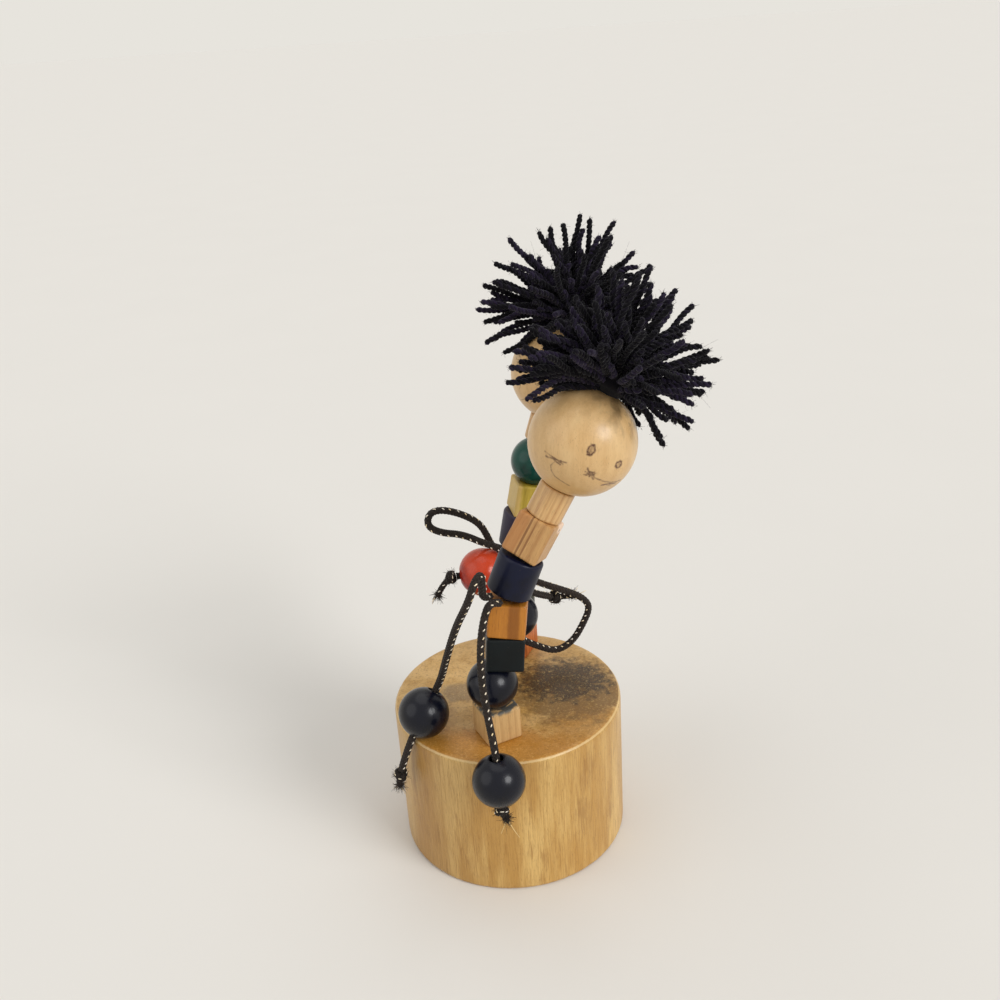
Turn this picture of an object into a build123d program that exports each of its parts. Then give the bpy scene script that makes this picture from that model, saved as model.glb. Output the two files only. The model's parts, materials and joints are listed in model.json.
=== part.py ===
from build123d import *
from dataclasses import dataclass
from math import cos, pi, radians, sin, sqrt, tan
import os

os.makedirs("parts", exist_ok=True)

# Push puppet: two figures of strung wooden pieces on one drum.
# Millimetres, +Z up. The origin is the centre of the drum's underside.
# The front figure stands towards -Y, and both figures lean towards +X.

# Drum
drum_diameter = 48.0
drum_height = 32.0
drum_top_edge = 0.9
drum_foot_edge = 0.6
cavity_diameter = 42.0
drum_ceiling = 8.0

# Thumb button inside the drum
button_fit = 0.3
button_thickness = 6.0
button_recess = 7.0
button_edge = 0.8
button_travel = 5.0
thumb_hollow_radius = 60.0
thumb_hollow_depth = 0.8

# Return spring
spring_wire = 1.0
spring_outer_diameter = 17.0
spring_turns = 4.5
spring_end_gap = 0.1
spring_boss_fit = 0.3
spring_boss_height = 2.0

# Wooden pieces on the cords
block_side = 7.4
block_height = 7.2
tall_block_height = 8.2
roller_diameter = 8.8
roller_height = 7.8
bead_diameter = 10.2
head_diameter = 20.0
neck_diameter = 7.0
neck_height = 6.5
short_neck_height = 5.7
edge_wear = 0.3
bore_diameter = 2.8
ball_seat_depth = 0.5
ball_seat_fit = 0.03

# Cords
cord_diameter = 1.8
cord_end_inset = 0.1
cord_end_clearance = 0.1
corner_share = 0.45
shoulder_loop_fit = 0.1
knot_diameter = 3.4
knot_turn_diameter = 1.4
knot_turn_tilt = 22.0
knot_pocket_fit = 0.3
knot_tail_length = 6.0

# Yarn hair
yarn_diameter = 1.8
yarn_taper = 0.6
hair_strands = 60
hair_length = 21.0
hair_spread = 102.0
hair_knot_diameter = 9.0
hair_knot_rise = 1.5
hair_root_depth = 0.5
hair_side_reach = 12.0

# Where the figures stand, and the heading of their lean
front_foot_y = -14.1
back_foot_y = 17.5
lean_heading = 18.0


@dataclass
class Piece:
    """One wooden piece: its shape, and how it sits on the piece below."""

    name: str
    shape: str
    height: float
    lean: float = 0.0
    turn: float = 0.0
    slip: float = 0.0


# The order is from the drum upwards. Lean is in degrees from upright, turn is about the
# piece's own axis, and slip is a step sideways from the piece below.
front_pieces = [
    Piece("foot_block", "block", block_height, turn=16.0),
    Piece("hip_bead", "ball", bead_diameter, lean=12.0, slip=-0.4),
    Piece("lower_block", "block", block_height, lean=5.0, turn=-8.0, slip=2.3),
    Piece("upper_block", "block", block_height, lean=6.5, turn=-14.0, slip=0.3),
    Piece("body_roller", "roller", roller_height, lean=23.0, slip=-0.3),
    Piece("chest_block", "block", tall_block_height, lean=30.0, turn=-33.0),
    Piece("neck", "neck", neck_height, lean=30.0),
    Piece("head", "ball", head_diameter, lean=30.0),
]
back_pieces = [
    Piece("foot_block", "block", block_height, turn=-34.0),
    Piece("leg_roller", "roller", roller_height, lean=2.0),
    Piece("hip_bead", "ball", bead_diameter, lean=6.0),
    Piece("shoulder_loop", "loop", cord_diameter, lean=12.0),
    Piece("body_roller", "roller", roller_height, lean=12.0),
    Piece("chest_block", "block", block_height, lean=12.0, turn=2.0, slip=0.5),
    Piece("collar_bead", "ball", bead_diameter, lean=16.0),
    Piece("neck", "neck", short_neck_height, lean=18.0),
    Piece("head", "ball", head_diameter, lean=18.0),
]

# Hand beads of the front figure: how far one lies over the drum's top, and the other off its rim
hand_rest_gap = 0.1
hand_rim_gap = 0.25
resting_hand_height = bead_diameter / 2 + hand_rest_gap
hanging_hand_reach = drum_diameter / 2 + front_foot_y + bead_diameter / 2 + hand_rim_gap

# Arm cords as the photographed toy holds them, in the figure's frame: x is the way the figure
# leans, -y is towards the viewer and z is up from the drum's top. Each cord runs from the gap
# that it leaves to its knot, and its hand bead is centred on one of the points.
front_left_arm = [
    (0.3, -1.5, 32.2), (-1.4, -3.3, 33.0), (-1.4, -4.1, 35.9), (-1.5, -4.9, 39.2),
    (-3.2, -7.5, 38.9), (-4.5, -7.4, 35.0), (-7.0, -3.9, 28.0), (-9.2, -0.3, 18.6),
    (-10.1, 5.1, 10.9), (-14.2, 3.3, resting_hand_height), (-18.1, 1.2, -0.5), (-20.0, 2.4, -7.1),
]
front_left_hand_index = 9
front_right_arm = [
    (1.6, -4.1, 32.0), (-0.4, -5.9, 33.6), (-1.9, -7.5, 31.4), (-3.0, -8.0, 26.4),
    (-3.5, -8.5, 19.6), (-3.2, -11.3, 12.4), (-2.6, 0.85 - hanging_hand_reach, 6.1),
    (-2.5, -hanging_hand_reach, 0.45), (-2.4, -0.35 - hanging_hand_reach, -5.0),
]
front_right_hand_index = 7
back_left_arm = [
    (-1.6, -1.0, 25.8), (-3.9, -2.0, 26.4), (-5.2, -3.8, 30.4), (-6.9, -4.6, 34.6), (-10.4, -5.5, 37.6),
    (-14.6, -5.6, 39.4), (-17.4, -6.0, 39.2), (-18.2, -6.6, 36.6), (-15.6, -7.2, 34.9),
    (-11.0, -7.2, 33.9), (-6.7, -7.8, 31.4), (-2.9, -8.8, 29.6), (1.0, -9.8, 28.0),
    (1.6, -8.8, 25.1), (-1.9, -7.9, 25.0), (-7.4, -7.2, 24.5), (-12.9, -6.6, 24.0),
]
back_left_hand_index = 15
back_right_arm = [
    (0.2, -3.2, 25.4), (0.8, -5.6, 24.8), (2.4, -8.0, 21.6), (6.1, -9.0, 20.0),
    (10.3, -8.5, 17.7), (13.8, -8.0, 15.3), (15.4, -8.0, 12.7), (13.6, -8.0, 8.6),
    (11.1, -8.5, 5.0), (7.2, -9.1, 3.4), (3.1, -9.5, 5.7), (-1.2, -9.8, 8.6),
    (-1.75, -9.95, 14.7), (-2.2, -10.3, 20.6), (0.6, -11.4, 21.6), (3.4, -9.6, 18.6),
    (6.8, -7.4, 16.4),
]
back_right_hand_index = 12

# Sizes that follow from the ones above
button_top = button_recess + button_thickness
button_diameter = cavity_diameter - 2 * button_fit
ceiling_height = drum_height - drum_ceiling
knot_pocket_depth = knot_diameter + knot_pocket_fit
loop_radius = cord_diameter + shoulder_loop_fit


def along(lean):
    """Unit vector up a leaning piece, in its figure's plane."""
    return Vector(sin(radians(lean)), 0, cos(radians(lean)))


def across(lean):
    """Unit vector to the right of a leaning piece, in its figure's plane."""
    return Vector(cos(radians(lean)), 0, -sin(radians(lean)))


def reach(piece):
    """How far a piece's end face reaches sideways from its axis."""
    if piece.shape == "block":
        turn = radians(piece.turn)
        return block_side / 2 * (abs(cos(turn)) + abs(sin(turn)))
    if piece.shape == "loop":
        return loop_radius + cord_diameter / 2
    return (roller_diameter if piece.shape == "roller" else neck_diameter) / 2


def seat_height(ball):
    """Distance from a ball's centre to the faces that it beds into."""
    return ball.height / 2 - ball_seat_depth


def loop_height(ball):
    """Distance from a ball's centre to the underside of the cord loop that lies on it."""
    touching = ball.height / 2 + cord_diameter / 2 + ball_seat_fit
    return sqrt(touching**2 - loop_radius**2) - cord_diameter / 2


def stack(pieces):
    """Stand the pieces on one another and return each one's place in the figure's plane.

    The place of a ball is its centre, and that of any other piece is the centre of its
    underside. Flat pieces that lean rock on the edge that they share.
    """
    places = [Vector(0, 0, drum_height)]
    for below, piece in zip(pieces, pieces[1:]):
        up, right = along(below.lean), across(below.lean)
        if piece.shape == "ball":
            rise = below.height + seat_height(piece)
            place = places[-1] + up * rise + right * piece.slip
        elif piece.shape == "loop":
            place = places[-1] + along(piece.lean) * loop_height(below)
        elif below.shape == "ball":
            place = places[-1] + along(piece.lean) * seat_height(below)
            place += across(piece.lean) * piece.slip
        else:
            shared = min(reach(below), piece.slip + reach(piece))
            place = places[-1] + up * below.height + right * shared
            place -= across(piece.lean) * (shared - piece.slip)
        places.append(place)
    return places


def figure_frame(foot_y):
    """Frame of a figure: x is the way it leans, and z is up."""
    return Location((0, foot_y, 0), (0, 0, lean_heading))


def set_up(solid, piece, place, foot_y):
    """Put a piece that was made on its own axis where it belongs on the toy."""
    tilt = Location(tuple(place), (0, piece.lean, 0)) * Location((0, 0, 0), (0, 0, piece.turn))
    return figure_frame(foot_y) * tilt * solid


# Wooden pieces, each made upright with its underside on the ground plane, or centred for a ball


def bore(length, diameter=bore_diameter):
    return Cylinder(diameter / 2, length)


def block(height):
    solid = extrude(Rectangle(block_side, block_side), height)
    solid = chamfer(solid.edges(), edge_wear)
    return solid - bore(3 * height)


def round_bar(diameter, height):
    solid = extrude(Circle(diameter / 2), height)
    solid = chamfer(solid.edges().filter_by(GeomType.CIRCLE), edge_wear)
    return solid - bore(3 * height)


def ball(diameter):
    return Sphere(diameter / 2) - bore(2 * diameter)


def blank(piece):
    if piece.shape == "block":
        return block(piece.height)
    if piece.shape == "ball":
        return ball(piece.height)
    if piece.shape == "loop":
        return Location((0, 0, cord_diameter / 2)) * Torus(loop_radius, cord_diameter / 2)
    return round_bar(2 * reach(piece), piece.height)


def seats(pieces, places, index, fit):
    """The balls beside a piece, larger by the fit, as tools on that piece's own axis."""
    piece, tools = pieces[index], []
    for step in (-1, 1):
        other = index + step
        if 0 < other < len(pieces) and pieces[other].shape == "ball":
            offset = places[other] - places[index]
            centre = (offset.dot(across(piece.lean)), 0, offset.dot(along(piece.lean)))
            turned = Location((0, 0, 0), (0, 0, -piece.turn)) * Location(centre)
            tools.append(turned * Sphere(pieces[other].height / 2 + fit))
    return tools


def wooden_pieces(pieces, foot_y):
    """Every strung piece of one figure, in place, by name."""
    places = stack(pieces)
    made = {}
    for index, piece in enumerate(pieces):
        solid = blank(piece)
        if piece.shape not in ("ball", "loop"):
            for tool in seats(pieces, places, index, ball_seat_fit):
                solid -= tool
        made[piece.name] = set_up(solid, piece, places[index], foot_y)
    return made


# Main cord: one run inside each piece, so that every piece carries its own stretch


def cord_stretches(pieces, foot_y):
    places = stack(pieces)
    made = {}
    for index, piece in enumerate(pieces):
        start, end = 0.0, piece.height
        if piece.shape == "loop":
            continue
        if piece.shape == "ball":
            start, end = -seat_height(piece), seat_height(piece)
        if index and pieces[index - 1].shape == "loop":
            start -= cord_diameter / 2
        rod = extrude(Circle(cord_diameter / 2), end - start - 2 * cord_end_inset)
        rod = Location((0, 0, start + cord_end_inset)) * rod
        if piece.shape != "ball":
            for tool in seats(pieces, places, index, cord_end_clearance):
                rod -= tool
        made[piece.name] = set_up(rod, piece, places[index], foot_y)
    return made


def drum_cord(foot_y):
    """The stretch that the button pulls on, with the knot in the button's pocket."""
    top = drum_height - button_travel - cord_end_inset
    knot_centre = button_recess + knot_diameter / 2
    rod = Location((0, foot_y, knot_centre)) * extrude(Circle(cord_diameter / 2), top - knot_centre)
    knot = Location((0, foot_y, knot_centre)) * Sphere(knot_diameter / 2)
    return rod + knot


# Drum, button and spring


def drum():
    solid = extrude(Circle(drum_diameter / 2), drum_height)
    solid = fillet(solid.edges().sort_by(Axis.Z)[-1], drum_top_edge)
    solid = fillet(solid.edges().sort_by(Axis.Z)[0], drum_foot_edge)
    solid -= extrude(Circle(cavity_diameter / 2), ceiling_height)
    for foot_y in (front_foot_y, back_foot_y):
        solid -= Location((0, foot_y, drum_height)) * bore(3 * drum_ceiling)
    return solid


def thumb_button():
    """A disc with a shallow hollow for the thumb, a spring boss and two knot pockets."""
    disc = Location((0, 0, button_recess)) * extrude(Circle(button_diameter / 2), button_thickness)
    disc = chamfer(disc.edges().filter_by(GeomType.CIRCLE), button_edge)
    inner_diameter = spring_outer_diameter - 2 * spring_wire
    boss = Location((0, 0, button_top)) * extrude(
        Circle(inner_diameter / 2 - spring_boss_fit), spring_boss_height
    )
    solid = disc + boss
    hollow_centre = button_recess + thumb_hollow_depth - thumb_hollow_radius
    solid -= Location((0, 0, hollow_centre)) * Sphere(thumb_hollow_radius)
    pocket = Circle(knot_diameter / 2 + knot_pocket_fit)
    for foot_y in (front_foot_y, back_foot_y):
        solid -= Location((0, foot_y, button_top)) * bore(3 * button_thickness)
        solid -= Location((0, foot_y, button_recess)) * extrude(pocket, knot_pocket_depth)
    return solid


def quarter_turn(start, start_way, end, end_way):
    """Two tangent arcs from one point and direction to another."""
    step, ways = end - start, start_way + end_way
    spread = 2 * (1 - start_way.dot(end_way))
    reach_out = (sqrt(step.dot(ways) ** 2 + spread * step.dot(step)) - step.dot(ways)) / spread
    middle = (start + end) * 0.5 + (start_way - end_way) * (reach_out / 2)
    first = TangentArc(start, middle, tangent=start_way)
    return [first, TangentArc(middle, end, tangent=first % 1)]


def return_spring():
    radius = (spring_outer_diameter - spring_wire) / 2
    low = button_top + spring_end_gap + spring_wire / 2
    high = ceiling_height - spring_end_gap - spring_wire / 2
    pitch = (high - low) / spring_turns
    quarters = round(4 * spring_turns)
    points, ways = [], []
    for quarter in range(quarters + 1):
        angle = quarter * pi / 2
        points.append(Vector(radius * cos(angle), radius * sin(angle), low + pitch * quarter / 4))
        ways.append(Vector(-radius * sin(angle), radius * cos(angle), pitch / (2 * pi)).normalized())
    arcs = []
    for quarter in range(quarters):
        ends = slice(quarter, quarter + 2)
        (start, end), (start_way, end_way) = points[ends], ways[ends]
        arcs += quarter_turn(start, start_way, end, end_way)
    path = Wire(arcs)
    print("return_spring: least gap between turns %.2f mm" % (pitch - spring_wire))
    return sweep(Plane(origin=path @ 0, z_dir=path % 0) * Circle(spring_wire / 2), path=path)


# Arms


def placed(route, foot_y):
    """World places of a route that was given in its figure's frame."""
    frame = figure_frame(foot_y)
    return [(frame * Location((x, y, drum_height + z))).position for x, y, z in route]


def corner_radii(points):
    """The radius at each corner that leaves a straight between two corners."""
    radii = []
    for before, corner, after in zip(points, points[1:], points[2:]):
        first, second = corner - before, after - corner
        half_turn = radians(first.get_angle(second)) / 2
        radii.append(corner_share * min(first.length, second.length) / tan(half_turn))
    return radii


def cord_tube(name, points):
    radii = corner_radii(points)
    path = FilletPolyline(*points, radius=radii)
    section = Circle(cord_diameter / 2)
    tube = sweep(Plane(origin=path @ 0, z_dir=path % 0) * section, path=path)
    share = tube.volume / (section.area * path.length)
    print(name, "length %.1f mm, volume share %.4f, radii" % (path.length, share),
          " ".join("%.1f" % radius for radius in radii))
    return tube


def hand_bead(points, at):
    """The bead centred on a route point, with its bore along the cord."""
    way = points[at + 1] - points[at - 1]
    return Plane(origin=points[at], z_dir=way).location * ball(bead_diameter)


def hand_knot(points):
    """Two turns of cord drawn tight past the cord's end, and the short tail that they leave."""
    frame = Plane(origin=points[-1], z_dir=points[-1] - points[-2]).location
    solid = extrude(Circle(cord_diameter / 2), knot_tail_length)
    ring_radius = (knot_diameter - knot_turn_diameter) / 2
    sunk = knot_turn_diameter / 2 + knot_diameter / 2 * sin(radians(knot_turn_tilt))
    for turn, height in enumerate((sunk, sunk + 0.9 * knot_turn_diameter)):
        tilt = knot_turn_tilt * (1 - 2 * turn)
        solid += Location((0, 0, height), (tilt, 0, 0)) * Torus(ring_radius, knot_turn_diameter / 2)
    return frame * solid


def arm(name, route, at, foot_y):
    points = placed(route, foot_y)
    return {
        name + "_cord": cord_tube(name + "_cord", points),
        name + "_hand": hand_bead(points, at),
        name + "_knot": hand_knot(points),
    }


# Hair


def strand_ways():
    """Directions spread evenly from the pole of the head down to the hair's spread."""
    golden = pi * (3 - sqrt(5))
    lowest = cos(radians(hair_spread))
    ways = []
    for strand in range(hair_strands):
        height = 1 - (strand + 0.5) / hair_strands * (1 - lowest)
        flat = sqrt(1 - height**2)
        ways.append(Vector(flat * cos(strand * golden), flat * sin(strand * golden), height))
    return ways


def hair(facing):
    """Yarn knotted at the crown. Strands on the facing side stop short of the other figure."""
    crown = Vector(0, 0, head_diameter / 2 + hair_knot_rise)
    solid = Location(tuple(crown)) * Sphere(hair_knot_diameter / 2)
    root = hair_knot_diameter / 2 - hair_root_depth
    section = RegularPolygon(yarn_diameter / 2, 5)
    strands = []
    for index, way in enumerate(strand_ways()):
        reach_out = hair_length * (0.84 + 0.04 * (index * 3 % 5))
        if way.Y * facing * reach_out > hair_side_reach:
            reach_out = hair_side_reach / abs(way.Y)
        strand = extrude(section, reach_out - root, taper=yarn_taper)
        strands.append(Plane(origin=crown + way * root, z_dir=way).location * strand)
    return solid.fuse(*strands) - Sphere(head_diameter / 2 + ball_seat_fit)


# The whole toy


def figure(side, pieces, foot_y, facing):
    """All the nodes of one figure but its arms."""
    made = {side + "_" + name: solid for name, solid in wooden_pieces(pieces, foot_y).items()}
    for name, rod in cord_stretches(pieces, foot_y).items():
        made[side + "_cord_in_" + name] = rod
    made[side + "_cord_in_drum"] = drum_cord(foot_y)
    made[side + "_hair"] = set_up(hair(facing), pieces[-1], stack(pieces)[-1], foot_y)
    return made


def puppet():
    made = {"drum": drum(), "thumb_button": thumb_button(), "return_spring": return_spring()}
    made |= figure("front", front_pieces, front_foot_y, 1)
    made |= figure("back", back_pieces, back_foot_y, -1)
    made |= arm("front_left_arm", front_left_arm, front_left_hand_index, front_foot_y)
    made |= arm("front_right_arm", front_right_arm, front_right_hand_index, front_foot_y)
    made |= arm("back_left_arm", back_left_arm, back_left_hand_index, back_foot_y)
    made |= arm("back_right_arm", back_right_arm, back_right_hand_index, back_foot_y)
    return made


for node, solid in puppet().items():
    solid.label = node
    export_step(solid, "parts/" + node + ".step")
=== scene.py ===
import json
import math
import random

import bpy
import numpy as np
from mathutils import Matrix, Vector, noise

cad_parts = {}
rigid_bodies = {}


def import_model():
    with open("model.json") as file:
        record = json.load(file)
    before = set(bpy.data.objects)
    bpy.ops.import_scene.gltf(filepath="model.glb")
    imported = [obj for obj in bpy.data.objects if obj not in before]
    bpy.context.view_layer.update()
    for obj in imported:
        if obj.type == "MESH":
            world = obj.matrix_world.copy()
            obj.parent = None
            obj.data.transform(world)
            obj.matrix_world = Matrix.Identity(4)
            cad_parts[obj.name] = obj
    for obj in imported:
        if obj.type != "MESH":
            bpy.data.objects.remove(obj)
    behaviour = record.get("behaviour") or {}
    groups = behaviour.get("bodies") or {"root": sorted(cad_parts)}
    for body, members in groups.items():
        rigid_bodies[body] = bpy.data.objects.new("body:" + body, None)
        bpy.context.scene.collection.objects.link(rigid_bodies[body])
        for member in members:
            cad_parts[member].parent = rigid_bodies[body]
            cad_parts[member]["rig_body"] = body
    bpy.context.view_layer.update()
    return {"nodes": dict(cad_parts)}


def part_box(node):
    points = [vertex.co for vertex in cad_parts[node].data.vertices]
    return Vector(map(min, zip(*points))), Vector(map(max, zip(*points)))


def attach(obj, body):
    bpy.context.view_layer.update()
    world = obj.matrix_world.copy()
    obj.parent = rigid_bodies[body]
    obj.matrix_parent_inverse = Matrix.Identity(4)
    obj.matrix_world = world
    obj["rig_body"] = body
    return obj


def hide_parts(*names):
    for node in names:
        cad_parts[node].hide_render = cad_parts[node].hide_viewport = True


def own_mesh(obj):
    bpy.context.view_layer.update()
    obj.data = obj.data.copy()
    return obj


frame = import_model()
chance = random.Random(11)

# Driving dimensions, in mm and degrees, as in the part's source

heading = 18.0
front_foot_y = -14.1
back_foot_y = 17.5
drum_diameter = 48.0
drum_height = 32.0
braid_diameter = 1.56
head_radius = 10.0
hair_knot_rise = 1.5
hair_strands = 60
hair_length = 21.0
hair_spread = 102.0
hair_side_reach = 12.0
yarn_radius = 0.62
loop_radius = 1.9


# Camera


def add_camera():
    yaw, pitch, roll = (math.radians(angle) for angle in (-9.55, 24.36, -3.95))
    forward = Vector((math.sin(yaw) * math.cos(pitch), math.cos(yaw) * math.cos(pitch), -math.sin(pitch)))
    level = Vector((math.cos(yaw), -math.sin(yaw), 0))
    upright = level.cross(forward)
    right = math.cos(roll) * level + math.sin(roll) * upright
    up = math.cos(roll) * upright - math.sin(roll) * level
    camera = bpy.data.objects.new("camera", bpy.data.cameras.new("camera"))
    bpy.context.scene.collection.objects.link(camera)
    camera.data.lens = 38.95
    camera.data.sensor_width = 36
    turned = Matrix((right, up, -forward)).transposed().to_4x4()
    camera.matrix_world = Matrix.Translation((0.03331, -0.19029, 0.16443)) @ turned
    bpy.context.scene.camera = camera


# Places


def figure_frame(foot_y):
    """From mm along a figure's lean, across it and over the drum's top to metres."""
    stand = Matrix.Translation((0, foot_y, drum_height))
    return Matrix.Scale(0.001, 4) @ stand @ Matrix.Rotation(math.radians(heading), 4, "Z")


def piece_frame(node, lean, turn=0.0):
    low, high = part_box(node)
    leaned = Matrix.Rotation(math.radians(heading), 4, "Z") @ Matrix.Rotation(math.radians(lean), 4, "Y")
    return Matrix.Translation((low + high) / 2) @ leaned @ Matrix.Rotation(math.radians(turn), 4, "Z")


def body_of(node):
    return frame["nodes"][node]["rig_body"]


def stand_for(obj, *nodes):
    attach(obj, body_of(nodes[0]))
    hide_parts(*nodes)
    return obj


# Meshes


def spread(points, step):
    """The line through the points, divided evenly, and how far along it each new point is."""
    runs = np.linalg.norm(np.diff(points, axis=0), axis=1)
    along = np.concatenate(([0.0], np.cumsum(runs)))
    at = np.linspace(0.0, along[-1], max(3, int(along[-1] / step) + 1))
    return np.column_stack([np.interp(at, along, points[:, k]) for k in range(3)]), at


def unit(vectors):
    return vectors / np.linalg.norm(vectors, axis=-1, keepdims=True)


def line_frames(path):
    """Two directions square to the path at each of its points, without twist."""
    ways = unit(np.gradient(path, axis=0))
    side = unit(np.cross(ways[0], (0.13, 0.31, 0.94)))
    sides = []
    for way in ways:
        side = unit(side - way * side.dot(way))
        sides.append(side)
    sides = np.array(sides)
    return sides, np.cross(ways, sides)


class Skin:
    """Strands gathered into one mesh, in mm, with a mark and a tone at each point."""

    def __init__(self):
        self.points = []
        self.faces = []
        self.marks = []
        self.tones = []
        self.count = 0

    def strand(self, path, wide, thick=None, sides=6, out=None, mark=0.0, tone=0.5):
        """A tube along the path. Its half sizes may change along it, and out turns its flat side."""
        path = np.asarray(path, float)
        size = len(path)
        wide = np.broadcast_to(np.asarray(wide, float), (size,))
        thick = wide if thick is None else np.broadcast_to(np.asarray(thick, float), (size,))
        if out is None:
            out, across = line_frames(path)
        else:
            across = unit(np.cross(np.gradient(path, axis=0), out))
        turns = np.arange(sides) * 2 * math.pi / sides
        ring = (
            path[:, None]
            + (thick[:, None] * np.cos(turns))[..., None] * out[:, None]
            + (wide[:, None] * np.sin(turns))[..., None] * across[:, None]
        )
        self.points.append(ring.reshape(-1, 3))
        base = self.count + np.arange(size - 1)[:, None] * sides
        here = np.arange(sides)[None]
        after = (here + 1) % sides
        quads = np.stack([base + here, base + after, base + sides + after, base + sides + here], axis=-1)
        self.faces.extend(quads.reshape(-1, 4).tolist())
        self.faces.append([self.count + k for k in reversed(range(sides))])
        self.faces.append([self.count + (size - 1) * sides + k for k in range(sides)])
        self.marks.append(np.full(size * sides, mark))
        self.tones.append(np.full(size * sides, tone))
        self.count += size * sides

    def made(self, name, place=Matrix.Identity(4)):
        """The object, its mesh in metres and moved to the place."""
        mesh = bpy.data.meshes.new(name)
        mesh.from_pydata((np.concatenate(self.points) * 0.001).tolist(), [], self.faces)
        mesh.transform(place)
        mesh.shade_smooth()
        for label, values in (("mark", self.marks), ("tone", self.tones)):
            mesh.attributes.new(label, "FLOAT", "POINT").data.foreach_set("value", np.concatenate(values))
        obj = bpy.data.objects.new(name, mesh)
        bpy.context.scene.collection.objects.link(obj)
        return obj


def smoothed(values, edges, rounds, share=0.5):
    """Each point's value drawn towards the mean of its neighbours' values."""
    first, second = edges[:, 0], edges[:, 1]
    size = len(values)
    degree = np.bincount(edges.ravel(), minlength=size)[:, None]
    for _ in range(rounds):
        total = np.column_stack([
            np.bincount(first, values[second, k], size) + np.bincount(second, values[first, k], size)
            for k in range(values.shape[1])
        ])
        values = values + share * (total / degree - values)
    return values


def worked(node, place, voxel, rounds, dents=0.0, drawing=None):
    """The node's solid remeshed finely in its own frame, its edges worn round and dented.

    The attribute wear says how much was taken off at each point, and ink is the drawing's."""
    mesh = frame["nodes"][node].data.copy()
    mesh.transform(Matrix.Scale(1000, 4) @ place.inverted())
    rough = bpy.data.objects.new(node + "_rough", mesh)
    bpy.context.scene.collection.objects.link(rough)
    remesh = rough.modifiers.new("remesh", "REMESH")
    remesh.mode = "VOXEL"
    remesh.voxel_size = voxel
    fine = bpy.data.meshes.new_from_object(rough.evaluated_get(bpy.context.evaluated_depsgraph_get()))
    bpy.data.objects.remove(rough)
    size = len(fine.vertices)
    start = np.empty(size * 3)
    fine.vertices.foreach_get("co", start)
    start = start.reshape(-1, 3)
    normals = np.empty(size * 3)
    fine.vertices.foreach_get("normal", normals)
    normals = normals.reshape(-1, 3)
    edges = np.empty(len(fine.edges) * 2, int)
    fine.edges.foreach_get("vertices", edges)
    edges = edges.reshape(-1, 2)
    points = smoothed(start, edges, rounds)
    taken = np.clip(((start - points) * normals).sum(1) / (0.55 * voxel), 0, 1.5)
    wear = smoothed(taken[:, None], edges, 3)[:, 0]
    if dents:
        bumps = np.array([noise.noise(Vector(point) * 0.9) for point in points])
        depth = np.clip(bumps, 0, 1) * np.clip(wear, 0, 1) * dents
        points = points - normals * depth[:, None]
    marks = [("wear", wear)]
    if drawing:
        marks.append(("ink", drawing(points)))
    fine.vertices.foreach_set("co", (points * 0.001).ravel())
    for label, values in marks:
        fine.attributes.new(label, "FLOAT", "POINT").data.foreach_set("value", values)
    fine.materials.clear()
    fine.shade_smooth()
    obj = bpy.data.objects.new(node + "_wood", fine)
    bpy.context.scene.collection.objects.link(obj)
    obj.matrix_world = place
    return stand_for(obj, node)


# Materials


def colour(red, green, blue):
    """A colour as seen on a screen, from 0 to 255, as the shader's linear one."""
    parts = [part / 255 for part in (red, green, blue)]
    return (*[part / 12.92 if part <= 0.04045 else ((part + 0.055) / 1.055) ** 2.4 for part in parts], 1.0)


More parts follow.
